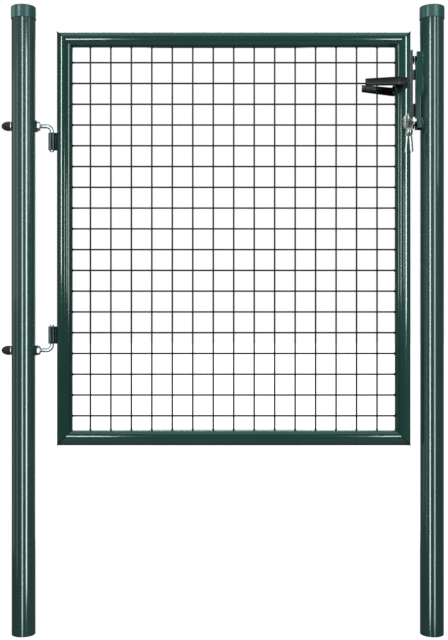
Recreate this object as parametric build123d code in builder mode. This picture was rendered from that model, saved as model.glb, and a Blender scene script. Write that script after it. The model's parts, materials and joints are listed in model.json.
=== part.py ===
"""Steel garden gate: a mitred tube leaf with welded mesh, hung between two round posts.

Millimetres, +Z up. The origin is the centre of the hinge post's foot. +X runs from the hinge post
to the latch post, and the front of the gate faces -Y.
"""
import math
import os

from build123d import *

os.makedirs("parts", exist_ok=True)

# Posts and their push-on caps
post_diameter = 57
post_wall = 2
post_length = 1514
cap_wall = 1.2
cap_clearance = 0.3
cap_skirt = 28
cap_thickness = 3
cap_edge = 2

# Leaf frame of mitred round tube
leaf_width = 855
leaf_height = 1000
leaf_drop = 58
tube_diameter = 38
tube_wall = 1.5

# Welded mesh: upright wires in front, level wires behind
wire_size = 4
wire_pitch_x = 49.5
wire_pitch_z = 50.3
mesh_shift_z = -1

# J-bolt hinges through the hinge post, and the barrels they carry
hinge_reach = 40
upper_rod_drop = 228
lower_rod_rise = 230
rod_diameter = 10
rod_bend_radius = 13
pin_clearance = 0.3
barrel_diameter = 17
barrel_length = 42
barrel_web = 4
web_thickness = 5
barrel_seat = 3
pin_end = 4
saddle_size = 24
outer_saddle_length = 5
inner_saddle_length = 5
nut_across_flats = 19
nut_height = 7
cap_nut_diameter = 23
cap_nut_length = 20
cap_nut_dome = 14
cap_nut_wall = 6

# Lock: case in the latch stile, forend, bolts and profile cylinder
lock_drop = 45
lock_height = 201
lock_proud = 4
forend_width = 24
forend_thickness = 3
forend_lap = 2
case_thickness = 22
case_depth = 31
case_clearance = 0.3
bolt_clearance = 0.3
bolt_throw = 12
bolt_tail = 17
latch_drop = 47
latch_height = 23
latch_thickness = 12
latch_bevel = 8
dead_bolt_rise = 72
dead_bolt_height = 31
dead_bolt_thickness = 10
plug_rise = 30
plug_offset = 4
cylinder_diameter = 17
cylinder_height = 33
cylinder_foot = 10
cylinder_length = 60
keyway_width = 2.4
keyway_height = 9
keyway_depth = 38

# Keep on the latch post, with its rubber buffers
closing_gap = 5.5
keep_stand = 14
keep_drop = 5
keep_short = 18
keep_front = 14
keep_rear = 23
keep_sheet = 3
keep_bend = 3
slot_clearance = 3
relief_lap = 20
relief_height = 55
relief_depth = 5
upper_setback_height = 24
lower_setback_height = 21
setback = 8.5
buffer_height = 18
buffer_inset = 4
buffer_seat = 2.5
buffer_reach = 12
buffer_width = 9
buffer_gap = 0.3
buffer_screw = 4
buffer_nut = 8
buffer_nut_height = 3

# Lever pair on one square spindle
spindle_drop = 87
spindle_offset = -7
spindle_size = 8
spindle_clearance = 0.4
rosette_diameter = 31
rosette_stand = 8
rosette_wrap = 9
rosette_edge = 1.5
lever_gap = 0.3
lever_length = 98
lever_reach = 56
lever_end_reach = 33
lever_thickness = 9
lever_kink = 12
lever_kink_radius = 9
lever_neck = 18
lever_root_height = 21
lever_end_height = 17
lever_rise = 3
lever_edge = 2.5
socket_floor = 5

# Keys
key_thickness = 2
key_bow = 24
key_hole = 7
key_rim = 2
key_blade_width = 8
key_blade_length = 38
key_ring_diameter = 24
key_ring_wire = 2
key_play = 0.1
spare_key_turn = 4
spare_key_lean = 4.5
spare_key_step = 1.8
back_key_step = 6.5

# Places that follow from the sizes above
post_radius = post_diameter / 2
tube_radius = tube_diameter / 2
hinge_x = post_radius + hinge_reach
leaf_left = hinge_x + barrel_diameter / 2 + barrel_web
leaf_right = leaf_left + leaf_width
leaf_top = post_length - leaf_drop
leaf_bottom = leaf_top - leaf_height
hinge_stile_x = leaf_left + tube_radius
latch_stile_x = leaf_right - tube_radius
top_rail_z = leaf_top - tube_radius
bottom_rail_z = leaf_bottom + tube_radius
upper_rod_z = leaf_top - upper_rod_drop
lower_rod_z = leaf_bottom + lower_rod_rise
lock_top = leaf_top - lock_drop
lock_bottom = lock_top - lock_height
latch_top = lock_top - latch_drop
dead_bolt_top = lock_bottom + dead_bolt_rise
plug_z = lock_bottom + plug_rise
spindle_z = lock_top - spindle_drop
keep_top = lock_top - keep_drop
keep_height = lock_height - keep_short
relief_top = dead_bolt_top + relief_lap
forend_face_x = leaf_right + lock_proud
keep_face_x = forend_face_x + closing_gap
latch_post_x = keep_face_x + keep_stand + post_radius
spindle_x = latch_stile_x + spindle_offset
plug_x = latch_stile_x + plug_offset
case_front_x = forend_face_x - forend_thickness
case_back_x = case_front_x - case_depth
case_top = lock_top - forend_lap
case_height = lock_height - 2 * forend_lap
bolt_tip_x = forend_face_x + bolt_throw
bolt_back_x = case_front_x - bolt_tail
bolt_pocket_x = bolt_back_x - bolt_throw
latch_z = latch_top - latch_height / 2
dead_bolt_z = dead_bolt_top - dead_bolt_height / 2
rosette_face = tube_radius + rosette_stand


def save(piece, name):
    """Label a finished piece and write it to its own file."""
    piece.part.label = name
    export_step(piece.part, f"parts/{name}.step")


def upright_cylinder(x, diameter, bottom, height, mode=Mode.ADD):
    """A plain upright cylinder inside the part being built."""
    with BuildSketch(Plane.XY.offset(bottom)) as disc:
        with Locations((x, 0)):
            Circle(diameter / 2)
    extrude(disc.sketch, amount=height, mode=mode)


def post(name, x, rod_heights):
    """A round post of tube, cross-drilled where hinge rods pass through it."""
    with BuildPart() as tube:
        with BuildSketch():
            with Locations((x, 0)):
                Circle(post_radius)
                Circle(post_radius - post_wall, mode=Mode.SUBTRACT)
        extrude(amount=post_length)
        for rod_z in rod_heights:
            with BuildSketch(Plane.YZ):
                with Locations((0, rod_z)):
                    Circle(rod_diameter / 2 + pin_clearance)
            extrude(amount=post_diameter, both=True, mode=Mode.SUBTRACT)
    save(tube, name)


def post_cap(name, x):
    """A moulded cap that rests on the post's end, with its skirt around the tube."""
    inner_radius = post_radius + cap_clearance
    outer_radius = inner_radius + cap_wall
    with BuildPart() as cap:
        with BuildSketch(Plane.XY.offset(post_length - cap_skirt)):
            with Locations((x, 0)):
                Circle(outer_radius)
        extrude(amount=cap_skirt + cap_thickness)
        chamfer(cap.edges().group_by(Axis.Z)[-1], cap_edge)
        upright_cylinder(x, 2 * inner_radius, post_length - cap_skirt, cap_skirt, Mode.SUBTRACT)
    save(cap, name)


def mitred_tube(start, end, inward):
    """A tube between two outer corners of the leaf, mitred at 45 degrees at both ends."""
    along = (end - start).normalized()
    axis_start = start + inward * tube_radius
    with BuildPart() as tube:
        with BuildSketch(Plane(axis_start, x_dir=inward, z_dir=along)):
            Circle(tube_radius)
            Circle(tube_radius - tube_wall, mode=Mode.SUBTRACT)
        extrude(amount=(end - start).length)
        split(bisect_by=Plane(start, z_dir=along - inward), keep=Keep.TOP)
        split(bisect_by=Plane(end, z_dir=along + inward), keep=Keep.BOTTOM)
    return tube


def cylinder_outline(growth=0.0):
    """The outline of a profile cylinder: a round barrel with a narrower round-ended foot."""
    barrel = cylinder_diameter / 2
    foot = cylinder_foot / 2 + growth
    foot_z = plug_z + barrel - cylinder_height + cylinder_foot / 2
    with BuildSketch(Plane.XZ) as outline:
        with Locations((plug_x, plug_z)):
            Circle(barrel + growth)
        with BuildLine():
            side = Line((plug_x - foot, plug_z), (plug_x - foot, foot_z))
            end = ThreePointArc(side @ 1, (plug_x, foot_z - foot), (plug_x + foot, foot_z))
            other_side = Line(end @ 1, (plug_x + foot, plug_z))
            Line(other_side @ 1, side @ 0)
        make_face()
    return outline.sketch


def frame_pieces():
    """Two rails and two stiles, the latch stile cut for the lock, the spindle and the cylinder."""
    low_left = Vector(leaf_left, 0, leaf_bottom)
    low_right = Vector(leaf_right, 0, leaf_bottom)
    high_left = Vector(leaf_left, 0, leaf_top)
    high_right = Vector(leaf_right, 0, leaf_top)
    save(mitred_tube(high_left, high_right, Vector(0, 0, -1)), "top_rail")
    save(mitred_tube(low_left, low_right, Vector(0, 0, 1)), "bottom_rail")
    save(mitred_tube(low_left, high_left, Vector(1, 0, 0)), "hinge_stile")
    plain_stile = mitred_tube(low_right, high_right, Vector(-1, 0, 0))
    with BuildPart() as latch_stile:
        add(plain_stile.part)
        with BuildSketch(Plane.YZ.offset(latch_stile_x)):
            with Locations((0, case_top - case_height / 2)):
                Rectangle(case_thickness + 2 * case_clearance, case_height + 2 * case_clearance)
        extrude(amount=tube_diameter, mode=Mode.SUBTRACT)
        with BuildSketch(Plane.XZ):
            with Locations((spindle_x, spindle_z)):
                Circle(spindle_size)
        extrude(amount=tube_diameter, both=True, mode=Mode.SUBTRACT)
        profile_hole = cylinder_outline(case_clearance)
        extrude(profile_hole, amount=tube_diameter, both=True, mode=Mode.SUBTRACT)
    save(latch_stile, "latch_stile")


def mesh_panel():
    """Square-section wires in two layers, fused where they cross."""
    inner_width = leaf_width - 2 * tube_diameter
    inner_height = leaf_height - 2 * tube_diameter
    uprights = int(inner_width / wire_pitch_x)
    levels = int(inner_height / wire_pitch_z)
    centre_x = (leaf_left + leaf_right) / 2
    centre_z = (leaf_bottom + leaf_top) / 2
    with BuildPart() as panel:
        with BuildSketch(Plane.XZ):
            with Locations((centre_x, centre_z)):
                with GridLocations(wire_pitch_x, 1, uprights, 1):
                    Rectangle(wire_size, inner_height)
        extrude(amount=wire_size)
        with BuildSketch(Plane.XZ):
            with Locations((centre_x, centre_z + mesh_shift_z)):
                with GridLocations(1, wire_pitch_z, 1, levels):
                    Rectangle(inner_width, wire_size)
        extrude(amount=-wire_size)
    save(panel, "mesh_panel")


def hinge(level, rod_z, pin_side):
    """One hinge: J-bolt, its saddles and nuts, and the leaf's barrel. The pin goes up or down."""
    bend_start_x = hinge_x - rod_bend_radius
    barrel_near_z = rod_z + pin_side * (rod_bend_radius + barrel_seat)
    barrel_far_z = barrel_near_z + pin_side * barrel_length
    barrel_low_z = min(barrel_near_z, barrel_far_z)
    rod_start_x = -post_radius - outer_saddle_length - cap_nut_length + cap_nut_wall
    slant = rod_bend_radius * (1 - math.sqrt(0.5))

    with BuildPart() as bolt:
        with BuildLine() as route:
            rod = Line((rod_start_x, 0, rod_z), (bend_start_x, 0, rod_z))
            bend_end = (hinge_x, 0, rod_z + pin_side * rod_bend_radius)
            middle = (hinge_x - slant, 0, rod_z + pin_side * slant)
            ThreePointArc(rod @ 1, middle, bend_end)
            Line(bend_end, (hinge_x, 0, barrel_far_z + pin_side * pin_end))
        with BuildSketch(Plane(rod @ 0, z_dir=rod % 0)):
            Circle(rod_diameter / 2)
        sweep(path=route.wires()[0])
    save(bolt, f"{level}_hinge_bolt")

    with BuildPart() as barrel:
        upright_cylinder(hinge_x, barrel_diameter, barrel_low_z, barrel_length)
        with BuildSketch(Plane.XY.offset(barrel_low_z)):
            with Locations(((hinge_x + hinge_stile_x) / 2, 0)):
                Rectangle(hinge_stile_x - hinge_x, web_thickness)
        extrude(amount=barrel_length)
        bore = rod_diameter + 2 * pin_clearance
        upright_cylinder(hinge_x, bore, barrel_low_z, barrel_length, Mode.SUBTRACT)
        upright_cylinder(hinge_stile_x, tube_diameter, barrel_low_z, barrel_length, Mode.SUBTRACT)
    save(barrel, f"{level}_hinge_barrel")

    def saddle(side, length):
        """A washer with one flat face, hollowed to sit on the round post."""
        with BuildPart() as washer:
            with BuildSketch(Plane.YZ):
                with Locations((0, rod_z)):
                    Rectangle(saddle_size, saddle_size)
                    Circle(rod_diameter / 2 + pin_clearance, mode=Mode.SUBTRACT)
            extrude(amount=side * (post_radius + length))
            low = rod_z - saddle_size / 2
            upright_cylinder(0, post_diameter, low, saddle_size, Mode.SUBTRACT)
        return washer

    save(saddle(-1, outer_saddle_length), f"{level}_outer_saddle")
    save(saddle(1, inner_saddle_length), f"{level}_inner_saddle")

    with BuildPart() as nut:
        with BuildSketch(Plane.YZ.offset(post_radius + inner_saddle_length)):
            with Locations((0, rod_z)):
                RegularPolygon(nut_across_flats / 2, 6, major_radius=False)
                Circle(rod_diameter / 2, mode=Mode.SUBTRACT)
        extrude(amount=nut_height)
    save(nut, f"{level}_hinge_nut")

    seat_x = -post_radius - outer_saddle_length
    dome_x = seat_x - cap_nut_length + cap_nut_dome
    rim = cap_nut_diameter / 2
    with BuildPart() as cap_nut:
        with BuildSketch(Plane.XZ):
            with BuildLine():
                bore = Polyline(
                    (rod_start_x, rod_z),
                    (rod_start_x, rod_z + rod_diameter / 2),
                    (seat_x, rod_z + rod_diameter / 2),
                    (seat_x, rod_z + rim),
                    (dome_x, rod_z + rim),
                )
                dome = Polyline(
                    bore @ 1,
                    (dome_x - cap_nut_dome * 0.6, rod_z + rim * 0.8),
                    (dome_x - cap_nut_dome, rod_z + rim * 0.3),
                    (dome_x - cap_nut_dome, rod_z),
                )
                Line(dome @ 1, bore @ 0)
            make_face()
        revolve(axis=Axis((0, 0, rod_z), (1, 0, 0)))
    save(cap_nut, f"{level}_cap_nut")


def bolt_pocket(top, height, thickness):
    """The hollow in the lock case where a bolt slides."""
    depth = forend_face_x - bolt_pocket_x + bolt_clearance
    with BuildSketch(Plane.YZ.offset(forend_face_x)) as mouth:
        with Locations((0, top - height / 2)):
            Rectangle(thickness + 2 * bolt_clearance, height + 2 * bolt_clearance)
    extrude(mouth.sketch, amount=-depth, mode=Mode.SUBTRACT)


def lock_pieces():
    """The case in the stile, the forend plate, the two bolts and the profile cylinder."""
    case_z = case_top - case_height / 2
    with BuildPart() as case:
        with BuildSketch(Plane.YZ.offset(case_back_x)):
            with Locations((0, case_z)):
                Rectangle(case_thickness, case_height)
        extrude(amount=case_depth)
        bolt_pocket(latch_top, latch_height, latch_thickness)
        bolt_pocket(dead_bolt_top, dead_bolt_height, dead_bolt_thickness)
        with BuildSketch(Plane.XZ):
            with Locations((spindle_x, spindle_z)):
                Circle(spindle_size * math.sqrt(0.5) + spindle_clearance)
        extrude(amount=case_thickness, both=True, mode=Mode.SUBTRACT)
        extrude(cylinder_outline(), amount=case_thickness, both=True, mode=Mode.SUBTRACT)
    save(case, "lock_case")

    with BuildPart() as forend:
        with BuildSketch(Plane.YZ.offset(case_front_x)):
            with Locations((0, lock_top - lock_height / 2)):
                RectangleRounded(forend_width, lock_height, forend_lap)
        extrude(amount=forend_thickness)
        bolt_pocket(latch_top, latch_height, latch_thickness)
        bolt_pocket(dead_bolt_top, dead_bolt_height, dead_bolt_thickness)
    save(forend, "lock_forend")

    with BuildPart() as latch:
        with BuildSketch(Plane.XY.offset(latch_top - latch_height)):
            half = latch_thickness / 2
            with BuildLine():
                Polyline(
                    (bolt_back_x, -half),
                    (bolt_tip_x, -half),
                    (bolt_tip_x, half - latch_bevel),
                    (bolt_tip_x - latch_bevel, half),
                    (bolt_back_x, half),
                    close=True,
                )
            make_face()
        extrude(amount=latch_height)
    save(latch, "latch_bolt")

    with BuildPart() as dead_bolt:
        with BuildSketch(Plane.YZ.offset(bolt_back_x)):
            with Locations((0, dead_bolt_z)):
                Rectangle(dead_bolt_thickness, dead_bolt_height)
        extrude(amount=bolt_tip_x - bolt_back_x)
        chamfer(dead_bolt.faces().sort_by(Axis.X)[-1].edges(), bolt_clearance * 2)
    save(dead_bolt, "dead_bolt")

    with BuildPart() as cylinder:
        extrude(cylinder_outline(), amount=cylinder_length / 2, both=True)
        with BuildSketch(Plane.XZ.offset(cylinder_length / 2)):
            with Locations((plug_x, plug_z)):
                Rectangle(keyway_width, keyway_height)
        extrude(amount=-keyway_depth, mode=Mode.SUBTRACT)
    save(cylinder, "lock_cylinder")


def keep_outline(face_x, rear, low):
    """The front flange of the keep and its web, cut from a folded channel behind the web's rear edge."""
    with BuildSketch(Plane.XY.offset(low)) as outline:
        with Locations(((face_x + latch_post_x) / 2, (keep_rear - keep_front) / 2)):
            Rectangle(latch_post_x - face_x, keep_front + keep_rear)
        fillet(outline.vertices().group_by(Axis.X)[0], keep_bend)
        with Locations(((face_x + keep_sheet + latch_post_x) / 2, (keep_rear - keep_front) / 2)):
            Rectangle(
                latch_post_x - face_x - keep_sheet,
                keep_front + keep_rear - 2 * keep_sheet,
                mode=Mode.SUBTRACT,
            )
        if rear < keep_rear:
            with Locations(((face_x + latch_post_x) / 2, (rear + keep_rear) / 2)):
                Rectangle(latch_post_x - face_x, keep_rear - rear, mode=Mode.SUBTRACT)
    return outline.sketch


def keep_pieces():
    """The folded keep welded to the latch post: a lip in front of the bolts, and an ear with a buffer at each end."""
    keep_low = keep_top - keep_height
    lower_step = keep_low + lower_setback_height
    upper_step = keep_top - upper_setback_height
    lip_edge = -latch_thickness / 2 - slot_clearance
    back_x = keep_face_x + setback
    seat_x = keep_face_x + buffer_seat
    buffer_y = forend_width / 2 + buffer_gap + buffer_width / 2
    buffer_heights = {
        "upper": keep_top - buffer_inset - buffer_height / 2,
        "lower": keep_low + buffer_inset / 2 + buffer_height / 2,
    }
    with BuildPart() as keep:
        extrude(keep_outline(keep_face_x, lip_edge, lower_step), amount=upper_step - lower_step)
        extrude(keep_outline(back_x, keep_rear, keep_low), amount=lower_step - keep_low)
        extrude(keep_outline(back_x, keep_rear, upper_step), amount=keep_top - upper_step)
        upright_cylinder(latch_post_x, post_diameter, keep_low, keep_height, Mode.SUBTRACT)
        relief_diameter = post_diameter + 2 * relief_depth
        relief_low = relief_top - relief_height
        upright_cylinder(latch_post_x, relief_diameter, relief_low, relief_height, Mode.SUBTRACT)
        with BuildSketch(Plane.YZ.offset(back_x)):
            for buffer_z in buffer_heights.values():
                with Locations((buffer_y, buffer_z)):
                    Circle(buffer_screw / 2)
        extrude(amount=keep_sheet, mode=Mode.SUBTRACT)
    save(keep, "strike_keep")

    for level, buffer_z in buffer_heights.items():
        with BuildPart() as pad:
            with BuildSketch(Plane.YZ.offset(seat_x)):
                with Locations((buffer_y, buffer_z)):
                    Rectangle(buffer_width, buffer_height)
            extrude(amount=-buffer_reach)
            chamfer(pad.edges().filter_by(Axis.Y).group_by(Axis.X)[0], buffer_gap * 5)
        save(pad, f"{level}_buffer")
        with BuildPart() as screw:
            with BuildSketch(Plane.YZ.offset(seat_x)):
                with Locations((buffer_y, buffer_z)):
                    Circle(buffer_screw / 2)
            extrude(amount=back_x + keep_sheet - seat_x)
            with BuildSketch(Plane.YZ.offset(back_x)):
                with Locations((buffer_y, buffer_z)):
                    RegularPolygon(buffer_nut / 2, 6, major_radius=False)
            extrude(amount=-buffer_nut_height)
        save(screw, f"{level}_buffer_screw")


def lever_pieces():
    """Front and rear lever on a square spindle, each with a rosette saddled to the stile."""
    with BuildPart() as spindle:
        with BuildSketch(Plane.XZ):
            with Locations((spindle_x, spindle_z)):
                Rectangle(spindle_size, spindle_size)
        extrude(amount=lever_reach - socket_floor, both=True)
    save(spindle, "lever_spindle")

    with BuildPart() as rosette:
        with BuildSketch(Plane.XZ.offset(rosette_face)):
            with Locations((spindle_x, spindle_z)):
                Circle(rosette_diameter / 2)
        extrude(amount=-rosette_stand - rosette_wrap)
        chamfer(rosette.edges().group_by(Axis.Y)[0], rosette_edge)
        with BuildSketch(Plane.XZ):
            with Locations((spindle_x, spindle_z)):
                Circle(spindle_size * math.sqrt(0.5) + spindle_clearance)
        extrude(amount=rosette_face, mode=Mode.SUBTRACT)
        low = spindle_z - rosette_diameter
        upright_cylinder(latch_stile_x, tube_diameter, low, 2 * rosette_diameter, Mode.SUBTRACT)
    save(rosette, "front_rosette")
    with BuildPart() as rear_rosette:
        mirror(rosette.part, about=Plane.XZ)
    save(rear_rosette, "rear_rosette")

    root_x = spindle_x + lever_root_height / 2
    end_x = root_x - lever_length
    outer = lever_reach + lever_thickness / 2
    inner = lever_reach - lever_thickness / 2
    end_outer = lever_end_reach + lever_thickness / 2
    end_inner = lever_end_reach - lever_thickness / 2
    kink_x = spindle_x - lever_kink
    with BuildPart() as lever:
        with BuildSketch(Plane.XY.offset(spindle_z)) as plan:
            with BuildLine():
                Polyline(
                    (root_x, -outer),
                    (kink_x, -outer),
                    (end_x, -end_outer),
                    (end_x, -end_inner),
                    (kink_x, -inner),
                    (root_x, -inner),
                    close=True,
                )
            make_face()
            fillet(plan.vertices().sort_by_distance((kink_x, -lever_reach))[:2], lever_kink_radius)
        extrude(amount=lever_root_height, both=True)
        with BuildSketch(Plane.XZ):
            root_half = lever_root_height / 2
            end_half = lever_end_height / 2
            with BuildLine():
                top = Line((spindle_x, spindle_z + root_half), (end_x, spindle_z + lever_rise + end_half))
                tip = Line(top @ 1, (end_x, spindle_z + lever_rise - end_half))
                Line(tip @ 1, (spindle_x, spindle_z - root_half))
                ThreePointArc(
                    (spindle_x, spindle_z - root_half),
                    (root_x, spindle_z),
                    (spindle_x, spindle_z + root_half),
                )
            make_face()
        extrude(amount=2 * lever_reach, mode=Mode.INTERSECT)
        fillet(lever.edges().filter_by(Axis.Y).group_by(Axis.X)[0], lever_edge)
        with BuildSketch(Plane.XZ.offset(rosette_face + lever_gap)):
            with Locations((spindle_x, spindle_z)):
                Circle(lever_neck / 2)
        extrude(amount=lever_reach - rosette_face - lever_gap)
        with BuildSketch(Plane.XZ):
            with Locations((spindle_x, spindle_z)):
                Rectangle(spindle_size, spindle_size)
        extrude(amount=lever_reach - socket_floor, mode=Mode.SUBTRACT)
    save(lever, "front_lever")
    with BuildPart() as rear_lever:
        mirror(lever.part, about=Plane.XZ)
    save(rear_lever, "rear_lever")


def key(plane):
    """A flat key drawn from the ring hole in its bow, with the blade along the plane's Y."""
    bow_centre = key_bow / 2 - key_hole / 2 - key_rim
    with BuildPart() as blank:
        with BuildSketch(plane):
            with Locations((0, bow_centre)):
                Circle(key_bow / 2)
            with Locations((0, bow_centre + (key_bow / 2 + key_blade_length) / 2)):
                Rectangle(key_blade_width, key_bow / 2 + key_blade_length)
            Circle(key_hole / 2, mode=Mode.SUBTRACT)
        extrude(amount=key_thickness / 2, both=True)
    return blank


def spare_key(ring_centre, step, lean):
    """A key that hangs on the ring at a sideways step from its lowest point, leaning outwards."""
    ring_radius = key_ring_diameter / 2
    wire_radius = key_ring_wire / math.sqrt(2)
    depth = math.sqrt(ring_radius**2 - step**2)
    wire_point = ring_centre + Vector(step, 0, -depth)
    wire_along = Vector(depth, 0, step).normalized()
    hang = Vector(0, 0, -1).rotate(Axis.Y, -lean)
    width = Vector(0, 1, 0).rotate(Axis.Z, spare_key_turn)
    normal = width.cross(hang).normalized()
    slant = math.radians(min(wire_along.get_angle(normal), wire_along.get_angle(-normal)))
    wire_room = wire_radius / math.cos(slant) + key_thickness / 2 * math.tan(slant)
    hole_centre = wire_point + hang * (key_hole / 2 - wire_room - key_play)
    return key(Plane(hole_centre, x_dir=normal.cross(hang), z_dir=-normal))


def key_pieces():
    """The key in the lock, and the ring through its bow with three spare keys."""
    bow_y = -cylinder_length / 2 - key_rim - key_bow / 2
    ring_y = bow_y - key_bow / 2 + key_hole / 2 + key_rim
    save(key(Plane((plug_x, ring_y, plug_z), x_dir=(0, 0, -1), z_dir=(1, 0, 0))), "lock_key")
    ring_radius = key_ring_diameter / 2
    ring_z = plug_z - key_hole / 2 + key_ring_wire / 2 + key_play - ring_radius
    with BuildPart() as ring:
        with BuildSketch(Plane.XZ.offset(-ring_y)):
            with Locations((plug_x, ring_z)):
                Circle(ring_radius + key_ring_wire / 2)
                Circle(ring_radius - key_ring_wire / 2, mode=Mode.SUBTRACT)
        extrude(amount=key_ring_wire / 2, both=True)
    save(ring, "key_ring")
    ring_centre = Vector(plug_x, ring_y, ring_z)
    save(spare_key(ring_centre, -spare_key_step, -spare_key_lean), "left_spare_key")
    save(spare_key(ring_centre, spare_key_step, spare_key_lean), "right_spare_key")
    save(spare_key(ring_centre, back_key_step, spare_key_lean), "back_spare_key")


post("hinge_post", 0, (upper_rod_z, lower_rod_z))
post("latch_post", latch_post_x, ())
post_cap("hinge_post_cap", 0)
post_cap("latch_post_cap", latch_post_x)
frame_pieces()
mesh_panel()
hinge("upper", upper_rod_z, -1)
hinge("lower", lower_rod_z, 1)
lock_pieces()
keep_pieces()
lever_pieces()
key_pieces()
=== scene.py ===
"""Looks of the steel garden gate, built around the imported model.

Metres, +Z up, the front of the gate faces -Y and the hinge post stands at the origin.
"""
import json
import math

import bmesh
import bpy
import numpy as np
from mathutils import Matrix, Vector

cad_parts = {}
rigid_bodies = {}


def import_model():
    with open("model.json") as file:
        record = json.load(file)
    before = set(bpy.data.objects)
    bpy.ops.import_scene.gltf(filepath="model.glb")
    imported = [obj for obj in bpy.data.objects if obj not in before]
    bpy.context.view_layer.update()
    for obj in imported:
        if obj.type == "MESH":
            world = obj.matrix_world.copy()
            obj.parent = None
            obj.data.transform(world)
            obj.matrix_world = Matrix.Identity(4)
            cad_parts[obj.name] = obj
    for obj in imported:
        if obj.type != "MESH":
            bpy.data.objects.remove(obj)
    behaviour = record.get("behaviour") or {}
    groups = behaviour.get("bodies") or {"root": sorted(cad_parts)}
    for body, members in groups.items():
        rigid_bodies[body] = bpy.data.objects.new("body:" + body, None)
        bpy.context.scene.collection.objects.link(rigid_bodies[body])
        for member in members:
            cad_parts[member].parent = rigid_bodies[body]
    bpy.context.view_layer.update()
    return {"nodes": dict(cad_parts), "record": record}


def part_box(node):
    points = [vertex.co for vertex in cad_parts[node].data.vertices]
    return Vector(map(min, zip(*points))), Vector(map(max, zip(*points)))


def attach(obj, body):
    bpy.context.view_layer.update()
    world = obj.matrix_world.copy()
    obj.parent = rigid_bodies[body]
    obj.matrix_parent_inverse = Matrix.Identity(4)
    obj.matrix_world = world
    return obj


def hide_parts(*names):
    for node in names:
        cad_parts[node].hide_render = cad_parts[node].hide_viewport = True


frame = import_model()
scene = bpy.context.scene

X = Vector((1, 0, 0))
Y = Vector((0, 1, 0))
Z = Vector((0, 0, 1))
MM = 0.001


# Materials

NOISE_LOW = 0.3
NOISE_HIGH = 0.7
FLAKE_SHARE = 0.5


def material(name, dark, light, roughness, metallic=0.0, *, tone_scale, grain, bump, bump_depth,
             coat=0.0, coat_roughness=0.06, specular=0.5, cells=0.0):
    """A finish with drifting colour, uneven gloss and a fine surface grain."""
    made = bpy.data.materials.new(name)
    made.use_nodes = True
    nodes = made.node_tree.nodes
    link = made.node_tree.links.new
    shader = nodes["Principled BSDF"]
    shader.inputs["Metallic"].default_value = metallic
    shader.inputs["Coat Weight"].default_value = coat
    shader.inputs["Coat Roughness"].default_value = coat_roughness
    shader.inputs["Specular IOR Level"].default_value = specular
    surface = nodes.new("ShaderNodeTexCoord").outputs["Object"]

    def noise(scale, detail):
        node = nodes.new("ShaderNodeTexNoise")
        node.inputs["Scale"].default_value = scale
        node.inputs["Detail"].default_value = detail
        link(surface, node.inputs["Vector"])
        return node

    source = noise(tone_scale, 6.0).outputs["Fac"]
    if cells:
        flakes = nodes.new("ShaderNodeTexVoronoi")
        flakes.inputs["Scale"].default_value = cells
        link(surface, flakes.inputs["Vector"])
        blend = nodes.new("ShaderNodeMath")
        blend.operation = "MULTIPLY_ADD"
        blend.inputs[1].default_value = FLAKE_SHARE
        link(flakes.outputs["Color"], blend.inputs[0])
        rest = nodes.new("ShaderNodeMath")
        rest.operation = "MULTIPLY"
        rest.inputs[1].default_value = 1 - FLAKE_SHARE
        link(source, rest.inputs[0])
        link(rest.outputs["Value"], blend.inputs[2])
        source = blend.outputs["Value"]
    ramp = nodes.new("ShaderNodeValToRGB")
    ramp.color_ramp.elements[0].position = NOISE_LOW
    ramp.color_ramp.elements[0].color = (*dark, 1)
    ramp.color_ramp.elements[1].position = NOISE_HIGH
    ramp.color_ramp.elements[1].color = (*light, 1)
    link(source, ramp.inputs["Fac"])
    link(ramp.outputs["Color"], shader.inputs["Base Color"])
    gloss = nodes.new("ShaderNodeMapRange")
    gloss.inputs["From Min"].default_value = NOISE_LOW
    gloss.inputs["From Max"].default_value = NOISE_HIGH
    gloss.inputs["To Min"].default_value = roughness[0]
    gloss.inputs["To Max"].default_value = roughness[1]
    link(noise(tone_scale * 9, 4.0).outputs["Fac"], gloss.inputs["Value"])
    link(gloss.outputs["Result"], shader.inputs["Roughness"])
    relief = nodes.new("ShaderNodeBump")
    relief.inputs["Strength"].default_value = bump
    relief.inputs["Distance"].default_value = bump_depth * MM
    link(noise(grain, 3.0).outputs["Fac"], relief.inputs["Height"])
    link(relief.outputs["Normal"], shader.inputs["Normal"])
    return made


green_coat = material(
    "green_powder_coat", (0.0058, 0.0350, 0.0284), (0.0072, 0.0422, 0.0342), (0.12, 0.15),
    tone_scale=5, grain=420, bump=0.015, bump_depth=0.10, coat=0.4, coat_roughness=0.10)
post_coat = material(
    "green_post_coat", (0.0085, 0.0285, 0.0258), (0.0101, 0.0340, 0.0308), (0.12, 0.15),
    tone_scale=5, grain=420, bump=0.015, bump_depth=0.10, coat=0.4, coat_roughness=0.10)
wire_coat = material(
    "green_wire_coat", (0.0100, 0.0270, 0.0225), (0.0128, 0.0335, 0.0280), (0.20, 0.32),
    tone_scale=20, grain=700, bump=0.15, bump_depth=0.15, coat=0.2)
weld_coat = material(
    "green_coat_on_weld", (0.0046, 0.0330, 0.0255), (0.0064, 0.0430, 0.0330), (0.14, 0.26),
    tone_scale=60, grain=500, bump=0.3, bump_depth=0.4, coat=0.3)
cap_plastic = material(
    "green_cap_plastic", (0.0290, 0.1080, 0.1000), (0.0350, 0.1260, 0.1170), (0.26, 0.34),
    tone_scale=9, grain=2200, bump=0.2, bump_depth=0.08)
galvanised = material(
    "galvanised_zinc", (0.52, 0.54, 0.55), (0.80, 0.81, 0.82), (0.24, 0.46), 1.0,
    tone_scale=60, grain=900, bump=0.15, bump_depth=0.1, cells=320)
black_plastic = material(
    "black_moulded_plastic", (0.0050, 0.0050, 0.0055), (0.0085, 0.0085, 0.0090),
    (0.26, 0.38), tone_scale=40, grain=2600, bump=0.22, bump_depth=0.06)
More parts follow.
